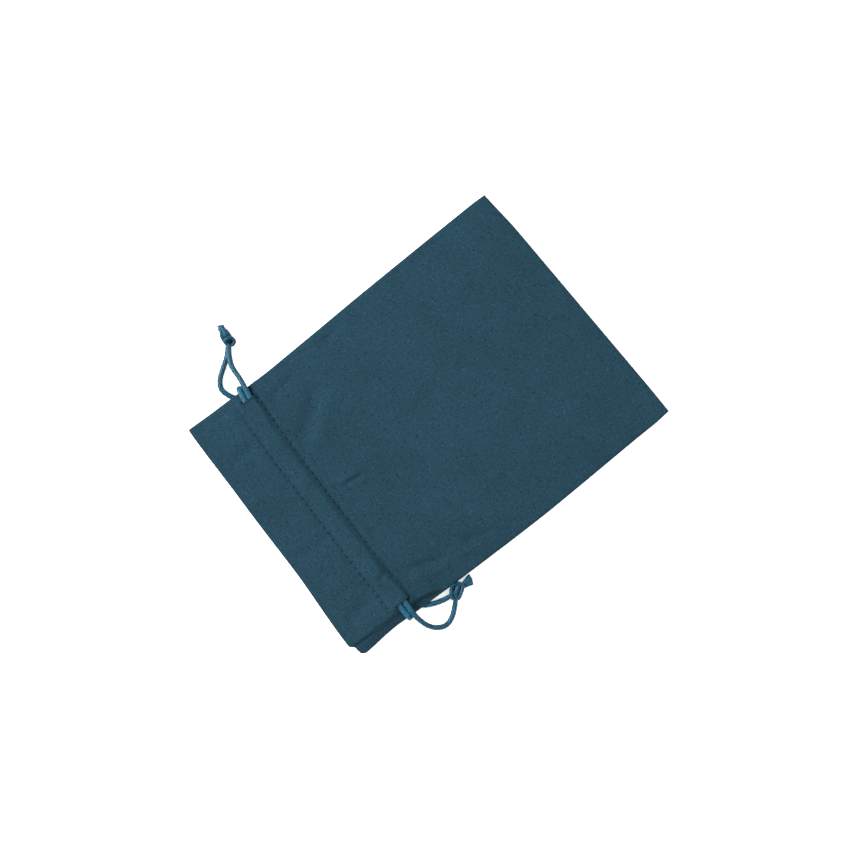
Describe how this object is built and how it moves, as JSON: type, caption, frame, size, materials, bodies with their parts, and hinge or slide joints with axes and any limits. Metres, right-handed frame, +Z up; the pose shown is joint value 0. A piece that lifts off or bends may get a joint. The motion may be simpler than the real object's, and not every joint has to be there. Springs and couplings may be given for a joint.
{
  "type": "drawstring pouch",
  "caption": "Flat cotton drawstring pouch with a stitched channel near its open mouth and a knotted satin cord pulling out at each side.",
  "frame": {"origin": "centre of the pouch's footprint, on the surface that it lies on", "axes": "+X to the right, +Y from the mouth towards the closed end, +Z up, away from the surface"},
  "size_m": [0.1998, 0.207, 0.0122],
  "materials": {
    "cloth": "matt plain weave cotton, dark petrol blue",
    "cord": "satin braided cord, teal blue",
    "thread": "polyester sewing thread, a little lighter than the cloth",
    "overlock_thread": "matt overlock thread, dark blue"
  },
  "bodies": {
    "pouch": {"front_panel": "cloth", "back_panel": "cloth", "front_hem": "cloth", "back_hem": "cloth", "closed_end_seam": "cloth", "closed_end_stitching": "thread", "closed_end_overlock": "overlock_thread", "front_channel_stitching_closed_side": "thread", "front_channel_stitching_mouth_side": "thread", "back_channel_stitching_closed_side": "thread", "back_channel_stitching_mouth_side": "thread"},
    "left_side": {"left_side_seam": "cloth", "left_seam_stitching": "thread", "left_seam_overlock": "overlock_thread", "front_left_slit_stitching": "thread", "back_left_slit_stitching": "thread"},
    "left_cord": {"left_cord_channel_run": "cord", "left_cord_front_lead": "cord", "left_cord_back_lead": "cord", "left_knot": "cord", "left_cord_tail_1": "cord", "left_cord_tail_2": "cord"},
    "right_side": {"right_side_seam": "cloth", "right_seam_stitching": "thread", "right_seam_overlock": "overlock_thread", "front_right_slit_stitching": "thread", "back_right_slit_stitching": "thread"},
    "right_cord": {"right_cord_channel_run": "cord", "right_cord_front_lead": "cord", "right_cord_back_lead": "cord", "right_knot": "cord", "right_cord_tail_1": "cord", "right_cord_tail_2": "cord"}
  },
  "joints": [
    {"name": "left_cord_pull", "type": "slide", "parent": "pouch", "child": "left_cord", "axis": [-1, 0, 0], "range_m": [0, 0.025]},
    {"name": "left_side_gather", "type": "hinge", "parent": "pouch", "child": "left_side", "pos_m": [-0.057, 0.098, 0.0059], "axis": [0, 0, 1], "range_deg": [0, 8.7], "deforming": ["front_panel", "back_panel", "front_hem", "back_hem", "front_channel_stitching_closed_side", "front_channel_stitching_mouth_side", "back_channel_stitching_closed_side", "back_channel_stitching_mouth_side"]},
    {"name": "right_cord_pull", "type": "slide", "parent": "pouch", "child": "right_cord", "axis": [1, 0, 0], "range_m": [0, 0.025]},
    {"name": "right_side_gather", "type": "hinge", "parent": "pouch", "child": "right_side", "pos_m": [0.058, 0.1, 0.0059], "axis": [0, 0, -1], "range_deg": [0, 8.7], "deforming": ["front_panel", "back_panel", "front_hem", "back_hem", "front_channel_stitching_closed_side", "front_channel_stitching_mouth_side", "back_channel_stitching_closed_side", "back_channel_stitching_mouth_side"]}
  ],
  "couplings": [
    {"joint": "right_side_gather", "follows": "left_cord_pull", "rad_per_m": 6.03},
    {"joint": "left_side_gather", "follows": "right_cord_pull", "rad_per_m": 6.03}
  ]
}
